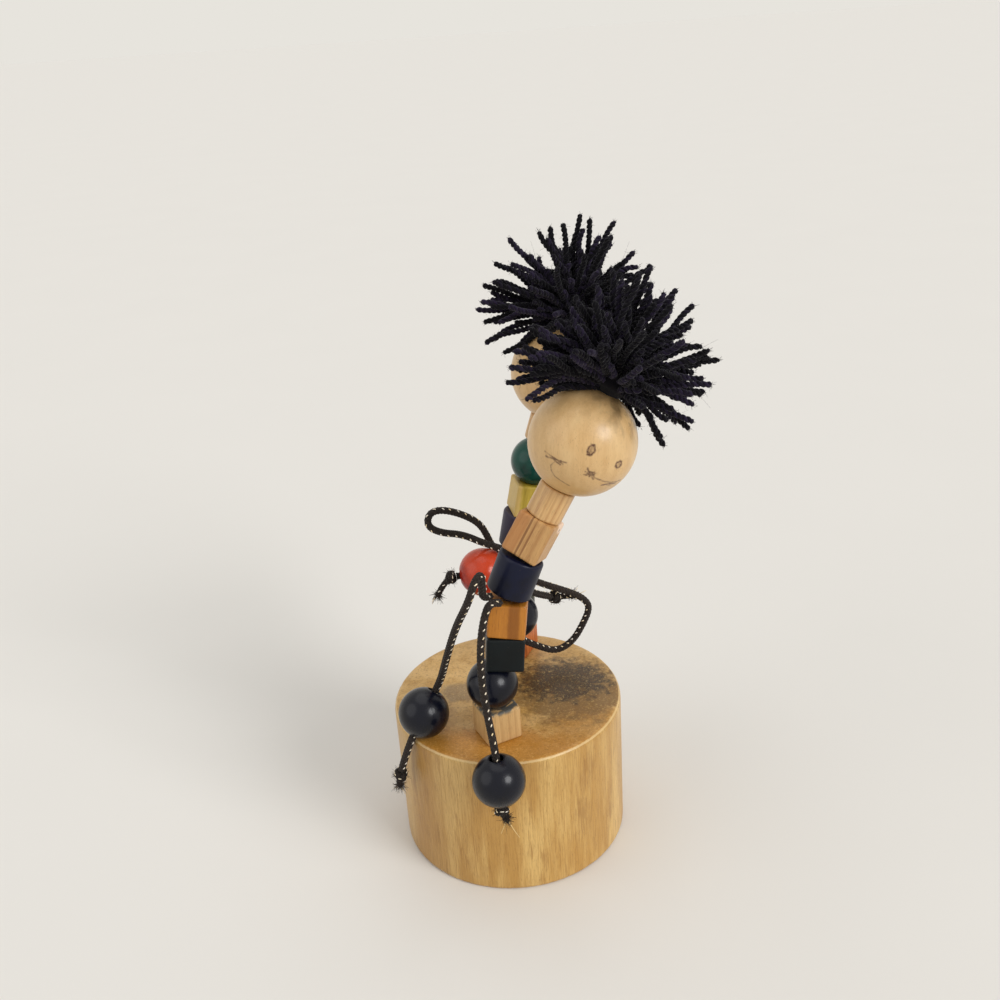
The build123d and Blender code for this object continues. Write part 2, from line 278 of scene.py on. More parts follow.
class Shader:
    """A material's node tree. Each method adds nodes and returns the socket that carries the result."""

    def __init__(self, name):
        self.material = bpy.data.materials.new(name)
        self.material.use_nodes = True
        self.tree = self.material.node_tree
        self.tree.nodes.clear()

    def add(self, kind, inputs, output=0, **settings):
        node = self.tree.nodes.new("ShaderNode" + kind)
        for key, value in settings.items():
            setattr(node, key, value)
        for key, value in inputs.items():
            if isinstance(value, bpy.types.NodeSocket):
                self.tree.links.new(value, node.inputs[key])
            else:
                node.inputs[key].default_value = value
        return node.outputs[output] if node.outputs else None

    def place(self):
        """The point on the piece, in mm, in the piece's own frame."""
        own = self.add("TexCoord", {}, "Object")
        return self.add("VectorMath", {0: own, "Scale": 1000.0}, operation="SCALE")

    def scaled(self, vector, factors):
        return self.add("VectorMath", {0: vector, 1: factors}, operation="MULTIPLY")

    def moved(self, vector, offset):
        return self.add("VectorMath", {0: vector, 1: offset})

    def length(self, vector):
        return self.add("VectorMath", {0: vector}, "Value", operation="LENGTH")

    def part(self, vector, axis):
        return self.add("SeparateXYZ", {0: vector}, axis)

    def sum(self, first, second):
        return self.add("Math", {0: first, 1: second})

    def times(self, first, second):
        return self.add("Math", {0: first, 1: second}, operation="MULTIPLY")

    def apply(self, operation, first, second=0.0):
        return self.add("Math", {0: first, 1: second}, operation=operation)

    def step(self, value, low, high):
        """0 below low, 1 above high and smooth between them."""
        sockets = {"Value": value, "From Min": low, "From Max": high}
        return self.add("MapRange", sockets, interpolation_type="SMOOTHSTEP")

    def blend(self, factor, first, second):
        return self.add("Mix", {0: factor, 6: first, 7: second}, 2, data_type="RGBA")

    def noise(self, vector, scale=1.0, detail=2.0, roughness=0.5, distortion=0.0):
        sockets = {"Vector": vector, "Scale": scale, "Detail": detail, "Roughness": roughness}
        return self.add("TexNoise", {**sockets, "Distortion": distortion})

    def patch(self, base, place, centre, spans, stain, strength, ragged=0.0, scale=0.45):
        """The stain over the base in a soft blot; spans are its half widths and ragged frays its edge."""
        off = self.scaled(self.moved(place, [-part for part in centre]), [1 / span for span in spans])
        fray = self.times(self.sum(self.noise(place, scale, 5.0, 0.65), -0.5), ragged)
        edge = self.step(self.sum(self.length(off), fray), 1.15, 0.6)
        return self.blend(self.times(edge, strength), base, stain)

    def value(self, name):
        return self.add("Attribute", {}, "Fac", attribute_name=name)

    def finish(self, base, roughness, height=None, depth=0.05, **sockets):
        """The surface itself; height is a relief that is depth mm deep."""
        inputs = {"Base Color": base, "Roughness": roughness}
        if height is not None:
            relief = {"Height": height, "Distance": depth * 0.001, "Strength": 1.0}
            inputs["Normal"] = self.add("Bump", relief, "Normal")
        inputs.update({key.replace("_", " "): value for key, value in sockets.items()})
        surface = self.add("BsdfPrincipled", inputs)
        self.add("OutputMaterial", {"Surface": surface})
        return self.material

    def grain(self, place, light, dark, pith=(7.0, -5.0), ring=1.4, contrast=0.8, rings=0.34):
        """Wood whose grain runs along Z: growth rings round the pith, fibres and pores."""
        wander = self.noise(self.scaled(place, (0.12, 0.12, 0.03)), detail=1.0)
        off = self.scaled(self.moved(place, (-pith[0], -pith[1], 0.0)), (1.0, 1.0, 0.03))
        turn = self.apply("FRACT", self.sum(self.times(self.length(off), 1 / ring), self.times(wander, 3.0)))
        late = self.times(self.step(turn, 0.35, 0.9), self.apply("SUBTRACT", 1.0, self.step(turn, 0.92, 1.0)))
        fibres = self.noise(self.scaled(place, (5.0, 5.0, 0.22)), detail=3.0, roughness=0.6)
        streaks = self.noise(self.scaled(place, (1.1, 1.1, 0.05)), detail=2.0)
        shares = self.sum(self.times(late, rings), self.times(fibres, 0.75))
        shares = self.sum(shares, self.times(streaks, 0.9))
        tone = self.step(shares, 1.0 - 0.5 / contrast, 1.0 + 0.5 / contrast)
        pores = self.step(self.noise(self.scaled(place, (9.0, 9.0, 0.7)), detail=1.0), 0.62, 0.72)
        wood = self.blend(tone, light, dark)
        darker = (*[channel * 0.45 for channel in dark[:3]], 1.0)
        return self.blend(self.times(pores, 0.4), wood, darker), self.sum(fibres, self.times(pores, -0.5))


def bare_wood(name, light, dark, roughness=0.42, coat=0.25, **grain):
    """Varnished wood, paler where its edges are worn."""
    shader = Shader(name)
    place = shader.place()
    wood, relief = shader.grain(place, light, dark, **grain)
    broken = shader.noise(place, 2.4, 3.0)
    worn = shader.step(shader.sum(shader.value("wear"), shader.times(broken, 0.8)), 0.75, 1.5)
    wood = shader.blend(shader.times(worn, 0.55), wood, colour(226, 200, 160))
    gloss = shader.sum(roughness - 0.1, shader.times(broken, 0.2))
    return shader.finish(wood, gloss, relief, 0.02, Coat_Weight=coat, Coat_Roughness=0.2)


def stained_wood(
    name, light, dark, raw, edges=(0.72, 1.1), half_height=3.6, raw_ends=0.5, patches=(), **grain
):
    """Wood under a thin stain: the grain shows through, and edges and ends are rubbed to the raw wood."""
    shader = Shader(name)
    place = shader.place()
    wood, relief = shader.grain(place, light, dark, **grain)
    broken = shader.noise(place, 3.2, 4.0, 0.6)
    end = shader.step(shader.apply("ABSOLUTE", shader.part(place, "Z")), half_height - 0.25, half_height - 0.05)
    rubbed = shader.sum(shader.value("wear"), shader.times(end, raw_ends))
    bare = shader.step(shader.sum(rubbed, shader.times(broken, 0.8)), edges[0] + 0.4, edges[1] + 0.4)
    grime = shader.step(shader.noise(place, 0.5, 3.0), 0.5, 0.75)
    wood = shader.blend(shader.times(grime, 0.3), wood, dark)
    for patch in patches:
        wood = shader.patch(wood, place, *patch)
    wood = shader.blend(bare, wood, raw)
    gloss = shader.sum(0.36, shader.times(broken, 0.25))
    return shader.finish(wood, gloss, relief, 0.025, Coat_Weight=0.12, Coat_Roughness=0.25, Specular_IOR_Level=0.35)


def painted_wood(name, paint, shade, raw, roughness=0.22, coat=0.2, edges=(0.9, 1.3), scuffs=0.25):
    """Opaque paint, rubbed off at the edges, with fine scuffs and a little of the grain's relief; the paint goes over
    into a painted shade in soft clouds and towards the bottom.
    """
    shader = Shader(name)
    place = shader.place()
    fibres = shader.noise(shader.scaled(place, (4.0, 4.0, 0.3)), detail=3.0)
    broken = shader.noise(place, 4.0, 4.0, 0.65)
    # painted shade: the paint turns to its shade colour in soft clouds and more towards the bottom
    cloud = shader.sum(shader.noise(place, 0.2, 3.0), shader.times(shader.part(place, "Z"), -0.04))
    coat_colour = shader.blend(shader.step(cloud, 0.35, 0.75), paint, shade)
    specks = shader.step(shader.noise(place, 5.0, 1.0), 0.74, 0.8)
    coat_colour = shader.blend(shader.times(specks, scuffs), coat_colour, raw)
    bare = shader.step(shader.sum(shader.value("wear"), shader.times(broken, 0.8)), edges[0], edges[1])
    surface = shader.blend(bare, coat_colour, raw)
    gloss = shader.sum(roughness, shader.times(shader.sum(bare, shader.times(fibres, 0.3)), 0.3))
    relief = shader.sum(fibres, shader.times(bare, -1.0))
    return shader.finish(
        surface, gloss, relief, 0.015, Coat_Weight=coat, Coat_Roughness=0.15, Specular_IOR_Level=0.2
    )


def drum_wood():
    """Honey-coloured varnish over fine upright grain, with painted shade towards the wall's left; the top is mottled,
    with a dark stain.
    """
    shader = Shader("drum_wood")
    place = shader.place()
    height = shader.part(place, "Z")
    fibres = shader.noise(shader.scaled(place, (5.0, 5.0, 0.17)), detail=4.0, roughness=0.65)
    bands = shader.noise(shader.scaled(place, (0.15, 0.15, 0.022)), detail=3.0, roughness=0.55)
    wood = shader.blend(shader.step(bands, 0.38, 0.62), colour(220, 182, 112), colour(190, 145, 74))
    wood = shader.blend(shader.times(shader.step(fibres, 0.4, 0.7), 0.55), wood, colour(160, 112, 48))
    dashes = shader.step(shader.noise(shader.scaled(place, (8.0, 8.0, 0.8)), detail=2.0), 0.58, 0.68)
    wood = shader.blend(shader.times(dashes, 0.3), wood, colour(122, 80, 30))
    blots = shader.noise(shader.scaled(place, (0.26, 0.26, 0.07)), detail=5.0, roughness=0.6)
    blots = shader.step(shader.sum(blots, shader.times(fibres, 0.3)), 0.67, 0.86)
    wood = shader.blend(shader.times(blots, 0.5), wood, colour(138, 90, 32))
    # painted shade: the wall is darkened towards its left side, where less light falls
    left = shader.step(shader.part(place, "X"), 4.0, -22.0)
    wood = shader.blend(shader.times(left, 0.3), wood, colour(146, 102, 44))
    cloud = shader.noise(place, 0.22, 3.0)
    top = shader.blend(shader.step(cloud, 0.4, 0.65), colour(216, 176, 112), colour(196, 152, 82))
    patches = (
        ((1.0, -19.5, 32.0), (23.0, 7.5, 9.0), colour(184, 122, 32), 0.8, 1.0),
        ((18.0, -10.0, 32.0), (9.0, 8.0, 9.0), colour(180, 124, 40), 0.7, 1.0),
        ((-16.0, -9.0, 32.0), (8.0, 6.0, 9.0), colour(150, 104, 52), 0.5, 1.2),
        ((-9.7, -0.4, 32.0), (5.5, 4.0, 9.0), colour(118, 100, 78), 0.65, 0.9),
        ((12.6, 2.0, 32.0), (15.0, 13.5, 9.0), colour(116, 84, 36), 0.85, 1.3),
        ((11.4, 4.8, 32.0), (11.0, 8.0, 9.0), colour(46, 31, 12), 0.92, 2.2, 0.55),
    )
    for patch in patches:
        top = shader.patch(top, place, *patch)
    speckle = shader.noise(place, 1.9, 4.0, 0.72, 0.6)
    top = shader.blend(shader.times(shader.step(speckle, 0.5, 0.64), 0.45), top, colour(136, 90, 30))
    top = shader.blend(shader.times(shader.step(speckle, 0.46, 0.34), 0.4), top, colour(226, 186, 112))
    wood = shader.blend(shader.step(height, drum_height - 0.35, drum_height - 0.1), wood, top)
    broken = shader.noise(place, 1.6, 3.0)
    reach = shader.length(shader.scaled(place, (1.0, 1.0, 0.0)))
    rim = shader.sum(shader.step(reach, 23.2, 23.7), shader.step(height, drum_height - 0.75, drum_height - 0.45))
    rim = shader.step(shader.sum(rim, shader.times(broken, 0.5)), 1.95, 2.2)
    wood = shader.blend(shader.times(rim, 0.45), wood, colour(238, 210, 154))
    worn = shader.step(shader.sum(shader.value("wear"), shader.times(broken, 0.7)), 0.7, 1.2)
    wood = shader.blend(shader.times(worn, 0.6), wood, colour(238, 210, 154))
    gloss = shader.sum(0.34, shader.times(broken, 0.16))
    relief = shader.sum(fibres, shader.times(dashes, -0.5))
    return shader.finish(wood, gloss, relief, 0.03, Coat_Weight=0.2, Coat_Roughness=0.2, Specular_IOR_Level=0.4)


def head_wood(name, inked):
    """Pale varnished wood, darker towards its bottom in painted shade, with soot streaks and painted shade under the
    yarn, and the face drawn in brown marker on it.
    """
    shader = Shader(name)
    place = shader.place()
    tilted = shader.add(
        "VectorRotate", {"Vector": place, "Axis": (0.3, 1.0, 0.2), "Angle": 0.5}, rotation_type="AXIS_ANGLE"
    )
    wood, relief = shader.grain(
        tilted, colour(224, 188, 134), colour(194, 150, 94), pith=(13.0, -7.0), ring=2.6, contrast=0.5, rings=0.15
    )
    cloud = shader.noise(place, 0.13, 2.0)
    wood = shader.blend(shader.times(shader.step(cloud, 0.45, 0.7), 0.4), wood, colour(232, 200, 148))
    # painted shade: the head is darkened towards its bottom
    low = shader.step(shader.part(place, "Z"), 0.0, -9.0)
    wood = shader.blend(shader.times(low, 0.35), wood, colour(188, 148, 92))
    # soot streaks from the yarn together with painted shade under the hair, high on the head and stronger on the right
    soot_and_shade = shader.noise(shader.scaled(place, (0.5, 0.5, 0.12)), detail=4.0, roughness=0.65)
    high = shader.step(shader.part(place, "Z"), 2.0, 10.0)
    right = shader.step(shader.part(place, "X"), -4.0, 7.0)
    soot_and_shade = shader.times(shader.step(soot_and_shade, 0.45, 0.62), shader.times(high, shader.sum(0.2, shader.times(right, 0.5))))
    wood = shader.blend(soot_and_shade, wood, colour(110, 84, 58))
    if inked:
        uneven = shader.step(shader.noise(place, 3.0, 4.0, 0.7), 0.3, 0.6)
        strength = shader.times(shader.value("ink"), shader.sum(0.6, shader.times(uneven, 0.4)))
        wood = shader.blend(strength, wood, colour(78, 42, 26))
    gloss = shader.sum(0.3, shader.times(shader.noise(place, 1.2, 3.0), 0.16))
    return shader.finish(wood, gloss, relief, 0.012, Coat_Weight=0.25, Coat_Roughness=0.2, Specular_IOR_Level=0.4)


def foot_wood():
    """Nearly raw wood with a smear of teal paint on its top."""
    shader = Shader("foot_wood")
    place = shader.place()
    wood, relief = shader.grain(
        place, colour(218, 182, 126), colour(182, 138, 86), pith=(9.0, 3.0), ring=1.2, contrast=0.6
    )
    smear = shader.noise(shader.scaled(place, (0.5, 0.9, 0.5)), detail=3.0)
    high = shader.step(shader.part(place, "Z"), 2.6, 3.5)
    teal = shader.times(high, shader.step(smear, 0.4, 0.54))
    wood = shader.blend(shader.times(teal, 0.85), wood, colour(28, 62, 76))
    return shader.finish(wood, 0.6, relief, 0.03, Coat_Weight=0.05, Coat_Roughness=0.4, Specular_IOR_Level=0.3)


def braid_thread():
    """Matt dark thread, and the metallic thread that comes up through the braid."""
    shader = Shader("braid_thread")
    place = shader.place()
    fibres = shader.noise(place, 9.0, 2.0)
    tone = shader.value("tone")
    thread = shader.blend(shader.sum(tone, shader.times(fibres, 0.5)), colour(7, 5, 4), colour(46, 36, 30))
    tinsel = shader.blend(tone, colour(255, 250, 238), colour(238, 206, 136))
    mark = shader.value("mark")
    gloss = shader.sum(0.7, shader.times(mark, -0.4))
    return shader.finish(
        shader.blend(mark, thread, tinsel), gloss, fibres, 0.02, Metallic=shader.times(mark, 0.3),
        Sheen_Weight=0.06, Specular_IOR_Level=0.25,
    )


def yarn():
    """Twisted near-black yarn with a violet cast and fuzz."""
    shader = Shader("yarn")
    place = shader.place()
    tone = shader.sum(shader.value("tone"), shader.times(shader.noise(place, 2.6, 4.0, 0.7), 0.6))
    wool = shader.blend(shader.step(tone, 0.5, 1.25), colour(8, 6, 12), colour(42, 34, 56))
    lint = shader.step(shader.noise(place, 6.0, 1.0), 0.74, 0.8)
    wool = shader.blend(shader.times(lint, 0.2), wool, colour(84, 74, 96))
    return shader.finish(
        wool, 0.9, shader.noise(place, 8.0, 3.0), 0.06, Sheen_Weight=0.1, Sheen_Roughness=0.5, Specular_IOR_Level=0.12
    )


def plain_parts():
    """Materials of the solids that keep their own shape: button, spring and the cord inside the pieces."""
    spring = Shader("spring_wire")
    drawn = spring.noise(spring.scaled(spring.place(), (6.0, 6.0, 6.0)), detail=3.0)
    steel = spring.blend(drawn, colour(196, 198, 204), colour(138, 140, 148))
    wire = spring.finish(steel, spring.sum(0.2, spring.times(drawn, 0.25)), drawn, 0.01, Metallic=1.0)
    elastic = Shader("elastic_cover")
    ribs = elastic.noise(elastic.scaled(elastic.place(), (3.0, 3.0, 7.0)), detail=3.0)
    cover = elastic.finish(
        elastic.blend(ribs, colour(20, 19, 22), colour(62, 58, 62)), 0.8, ribs, 0.08, Sheen_Weight=0.3
    )
    button = Shader("button_wood")
    place = button.place()
    wood, relief = button.grain(place, colour(222, 190, 142), colour(180, 138, 92), pith=(14.0, 5.0), ring=2.0)
    rubbed = button.step(button.length(button.scaled(place, (1 / 17, 1 / 17, 0.0))), 1.1, 0.2)
    wood = button.blend(button.times(rubbed, 0.35), wood, colour(150, 112, 74))
    disc = button.finish(wood, 0.55, relief, 0.03, Coat_Weight=0.1, Coat_Roughness=0.3)
    for name, obj in frame["nodes"].items():
        if "_cord_in_" in name:
            dress(obj, cover)
    dress(shortening_spring(), wire)
    dress(frame["nodes"]["thumb_button"], disc)


def shortening_spring():
    """The return spring's wire, on its own copy of the part's mesh; the real spring shortens as the button is pushed
    in.
    """
    mesh = frame["nodes"]["return_spring"].data.copy()
    mesh.materials.clear()
    spring = bpy.data.objects.new("return_spring_wire", mesh)
    bpy.context.scene.collection.objects.link(spring)
    stand_for(spring, "return_spring")
    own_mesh(spring)
    return spring


def dress(obj, material):
    if obj.material_slots:
        for slot in obj.material_slots:
            slot.material = material
    else:
        obj.data.materials.append(material)


# Cords

routes = {
    "front_left_arm": (front_foot_y, (
        (0.3, -1.5, 32.2), (-1.4, -3.3, 33.0), (-1.4, -4.1, 35.9), (-1.5, -4.9, 39.2),
        (-3.2, -7.5, 38.9), (-4.5, -7.4, 35.0), (-7.0, -3.9, 28.0), (-9.2, -0.3, 18.6),
        (-10.1, 5.1, 10.9), (-14.2, 3.3, 5.2), (-18.1, 1.2, -0.5), (-20.0, 2.4, -7.1),
    )),
    "front_right_arm": (front_foot_y, (
        (1.6, -4.1, 32.0), (-0.4, -5.9, 33.6), (-1.9, -7.5, 31.4), (-3.0, -8.0, 26.4),
        (-3.5, -8.5, 19.6), (-3.2, -11.3, 12.4), (-2.6, -14.4, 6.1), (-2.5, -15.25, 0.45),
        (-2.4, -15.6, -5.0),
    )),
    "back_left_arm": (back_foot_y, (
        (-1.6, -1.0, 25.8), (-3.9, -2.0, 26.4), (-5.2, -3.8, 30.4), (-6.9, -4.6, 34.6),
        (-10.4, -5.5, 37.6), (-14.6, -5.6, 39.4), (-17.4, -6.0, 39.2), (-18.2, -6.6, 36.6),
        (-15.6, -7.2, 34.9), (-11.0, -7.2, 33.9), (-6.7, -7.8, 31.4), (-2.9, -8.8, 30.0),
        (0.7, -9.7, 29.1), (2.5, -9.5, 26.8), (0.9, -8.7, 24.7), (-2.4, -7.9, 24.5), (-7.4, -7.2, 24.5),
        (-12.9, -6.6, 24.0),
    )),
    "back_right_arm": (back_foot_y, (
        (0.2, -3.2, 25.4), (0.8, -5.6, 24.8), (2.4, -8.0, 21.6), (6.1, -9.0, 20.0),
        (10.3, -8.5, 17.7), (13.8, -8.0, 15.3), (15.4, -8.0, 12.7), (13.6, -8.0, 8.6),
        (11.1, -8.5, 5.0), (7.2, -9.1, 3.4), (3.1, -9.5, 5.7), (-1.2, -9.8, 8.6),
        (-1.75, -9.95, 14.7), (-2.2, -10.3, 20.6), (0.6, -11.4, 21.6), (3.4, -9.6, 18.6),
        (6.8, -7.4, 16.4),
    )),
}


def cord_line(name, foot_y, route):
    """The points of the smooth curve that the route's points control, in metres."""
    curve = bpy.data.curves.new(name + "_line", "CURVE")
    curve.dimensions = "3D"
    spline = curve.splines.new("NURBS")
    spline.points.add(len(route) - 1)
    for control, point in zip(spline.points, route):
        control.co = (*(figure_frame(foot_y) @ Vector(point)), 1.0)
    spline.order_u = 3
    spline.use_endpoint_u = True
    spline.resolution_u = 24
    line = bpy.data.objects.new(name + "_line", curve)
    mesh = bpy.data.meshes.new_from_object(line)
    points = [vertex.co.copy() for vertex in mesh.vertices]
    bpy.data.objects.remove(line)
    bpy.data.meshes.remove(mesh)
    return points


def braided(skin, line, radius=braid_diameter / 2, spare=0.0):
    """Six flat strands each way, over and under, with a metallic thread glinting between them."""
    path, at = spread(np.asarray(line, float), 0.15)
    sides, ups = line_frames(path)
    size = radius / 0.9
    lay, carriers = 5.4 * size, 6
    wave = np.cos(2 * math.pi * carriers * at / lay)
    skin.strand(path, 0.66 * size, sides=6, tone=0.0)
    for sense in (1, -1):
        for carrier in range(carriers):
            turn = sense * (2 * math.pi * at / lay) + 2 * math.pi * carrier / carriers
            out = np.cos(turn)[:, None] * sides + np.sin(turn)[:, None] * ups
            rise = (0.66 + sense * 0.07 * wave) * size
            tone = 0.1 + 0.5 * chance.random() + spare
            skin.strand(path + out * rise[:, None], 0.34 * size, 0.17 * size, 5, out, tone=tone)
    for thread in range(2):
        for middle in np.arange(0.5 + 0.9 * thread, at[-1] - 0.4, 1.6):
            off = at - middle - chance.uniform(-0.15, 0.15)
            near = np.abs(off) < 0.3
            turn = math.pi * thread + 0.5 + chance.uniform(-0.2, 0.2) + off[near] * 0.9
            out = np.cos(turn)[:, None] * sides[near] + np.sin(turn)[:, None] * ups[near]
            rise = (0.76 + 0.16 * np.cos(off[near] * 4.6)) * size
            skin.strand(
                path[near] + out * rise[:, None], 0.15 * size, 0.08 * size, 5, out, mark=1.0,
                tone=chance.uniform(0, 0.7),
            )


def fibre(skin, start, way, length, bend, thick, mark=0.0, tone=0.5, pieces=5):
    """A thin fibre that curves away from its first direction."""
    steps = np.linspace(0, 1, pieces)[:, None]
    path = start + way * length * steps + bend * length * steps**2
    skin.strand(path, np.linspace(thick, thick * 0.5, pieces), sides=3, mark=mark, tone=tone)


def scatter(width=1.0):
    return np.array([chance.uniform(-width, width) for _ in range(3)])


def knot(name, end, before, tail):
    """Two turns of the cord past the bead, a tail that hangs as it will and its frayed end."""
    place = Matrix.Translation(end) @ (end - before).to_track_quat("Z", "Y").to_matrix().to_4x4()
    tail_start, tail_turn = np.array([0.0, 0.0, 0.6]), np.array([0.1, 0.0, 2.5])
    tail_end = tail_turn + np.array(place.to_3x3().inverted() @ Vector(tail))
    skin = Skin()
    turns = np.linspace(0, 4 * math.pi, 90)
    tilt = 0.38 * np.sin(turns + 0.6) * np.where(turns < 2 * math.pi, 1, -1)
    coil = np.column_stack([0.85 * np.cos(turns), 0.85 * np.sin(turns), 0.8 + 0.09 * turns + tilt])
    braided(skin, coil, 0.62, spare=-0.1)
    share = np.linspace(0, 1, 40)[:, None]
    path = (1 - share) ** 2 * tail_start + 2 * share * (1 - share) * tail_turn + share**2 * tail_end
    braided(skin, path, 0.7)
    last = unit(tail_end - path[-6])
    for _ in range(170):
        way = unit(last + scatter(1.1))
        start = tail_end - last * 0.5 + scatter(0.5)
        fibre(skin, start, way, chance.uniform(0.6, 1.5), scatter(0.7), 0.05, tone=chance.uniform(0.1, 0.8))
    for _ in range(110):
        start = coil[chance.randrange(90)] + scatter(0.6)
        way = unit(start - np.array([0.0, 0.0, 1.3]) + scatter(0.4))
        fibre(skin, start, way, chance.uniform(0.4, 0.8), scatter(0.5), 0.04, tone=chance.uniform(0.1, 0.8))
    for _ in range(2):
        fibre(skin, tail_end, unit(last + scatter(1.0)), chance.uniform(2.0, 3.6), scatter(0.3), 0.1, 1.0, 0.9)
    return stand_for(skin.made(name + "_knotted", place), name + "_knot")


tails = {
    "front_left_arm": (0.1, -0.3, -1.5),
    "front_right_arm": (0.9, -0.3, -0.5),
    "back_left_arm": (-1.9, -0.6, -3.9),
    "back_right_arm": (3.4, 0.6, 0.2),
}


def arm(name, foot_y, route, material, bead_material):
    line = cord_line(name, foot_y, route)
    skin = Skin()
    braided(skin, np.array([tuple(point) for point in line]) * 1000)
    cord = stand_for(skin.made(name + "_braid"), name + "_cord")
    dress(cord, material)
    end = knot(name, line[-1], line[-2], tails[name])
    dress(end, material)
    hand = worked(name + "_hand", piece_frame(name + "_hand", 20, 40), 0.14, 3)
    dress(hand, bead_material)


def shoulder_loop(material):
    """The turn of the arms' cord round the back figure's elastic."""
    skin = Skin()
    turns = np.linspace(-0.1, 2 * math.pi + 0.1, 60)
    ring = np.column_stack([loop_radius * np.cos(turns), loop_radius * np.sin(turns), 0 * turns])
    braided(skin, ring, 0.8)
    loop = stand_for(skin.made("shoulder_braid", piece_frame("back_shoulder_loop", 12)), "back_shoulder_loop")
    dress(loop, material)


# Hair


def hair_ways():
    """Directions spread evenly from the crown down to the hair's spread."""
    golden = math.pi * (3 - math.sqrt(5))
    lowest = math.cos(math.radians(hair_spread))
    ways = []
    for strand in range(hair_strands):
        height = 1 - (strand + 0.5) / hair_strands * (1 - lowest)
        flat = math.sqrt(1 - height**2)
        ways.append(np.array([flat * math.cos(strand * golden), flat * math.sin(strand * golden), height]))
    return ways


def yarn_strand(skin, crown, way, reach, bow):
    """Two plies twisted round a gently bent line, with a soft tip and fuzz."""
    bend = unit(np.cross(way, scatter())) * chance.uniform(-1.5, 1.5)
    wave = unit(np.cross(way, scatter())) * chance.uniform(0.2, 0.5)
    steps = np.linspace(0, 1, 24)[:, None]
    line = crown + way * (1.2 + (reach - 1.2) * steps) + (bend + bow) * np.sin(steps * math.pi)
    line = line + wave * np.sin(steps * 9)
    off = np.linalg.norm(line, axis=1)
    line = line * (np.maximum(off, head_radius + yarn_radius) / off)[:, None]
    path, at = spread(line, 0.25)
    sides, ups = line_frames(path)
    left = at[-1] - at
    soft = np.sqrt(np.clip(1 - (np.clip(0.6 - left, 0, 0.6) / 0.62) ** 2, 0.04, 1))
    start = chance.uniform(0, 6.28)
    tone = chance.uniform(0.0, 0.75)
    for ply in (0, math.pi):
        turn = 2 * math.pi * at / 1.9 + start + ply
        out = np.cos(turn)[:, None] * sides + np.sin(turn)[:, None] * ups
        size = yarn_radius * soft
        skin.strand(path + out * (0.46 * size)[:, None], 0.56 * size, sides=5, tone=tone + 0.1 * math.cos(ply))
    for _ in range(26):
        here = chance.randrange(len(path) // 5, len(path))
        out = unit(scatter())
        fibre(skin, path[here] + out * 0.4, out, chance.uniform(0.3, 0.9), scatter(0.7), 0.03, tone=0.5, pieces=4)
    for _ in range(12):
        out = unit(way + scatter(0.8))
        fibre(skin, path[-1] - way * 0.4 + scatter(0.25), out, chance.uniform(0.4, 0.8), scatter(0.4), 0.04)
    return path


# Where the ends of the yarn stand in the photograph, in mm to the side, across and up from the head's centre
yarn_ends = {
    "front": (
        (-3.5, 2, 33), (-3, -1, 30.5), (-0.5, -2, 30), (2.5, 0, 30), (8, 3, 30), (10.5, -3, 24.5), (16, 0, 23.5),
        (13, -4, 20), (16, -1, 17.5), (13.5, -5, 15), (16, -3, 10.5), (12, -6, 6.5), (-18.5, -2, 12), (-19, 1, 9.5),
        (-19.5, -3, 7.5), (-18, 0, 4.5), (-15, -5, 4), (-9, 2, 29.5), (-11.5, -1, 26), (-12, 3, 22), (-6.5, -3, 31),
        (-9, -10, 18.5), (-2, -10, 20.5), (-13, -10, 15.5), (-17, -2, 15), (-16, 1, 13.5), (-17.5, -4, 10.5),
        (-16.5, 2, 7), (-14, -3, 9), (-15, 3, 11), (-12, -4, 13), (-13.5, 2, 6), (-14.5, 0, 17.5), (-13, -2, 19.5),
    ),
    "back": (
        (-19.5, 0, 10.5), (-19.5, 2, 13.5), (-18.5, -2, 15.5), (-18.5, 1, 18.5), (-16, -2, 19.5), (-16.5, 3, 23.5),
        (-11.5, 0, 26.5), (-9, 3, 27.5), (-2.5, 0, 31), (0, -2, 28.5), (4, 2, 27), (-17.5, 2, 6.5), (-16.5, 0, 2.5),
        (-13, -2, 2), (-19.5, 3, 8.5), (10, 0, 24), (14, 2, 20), (17, 0, 15),
    ),
}


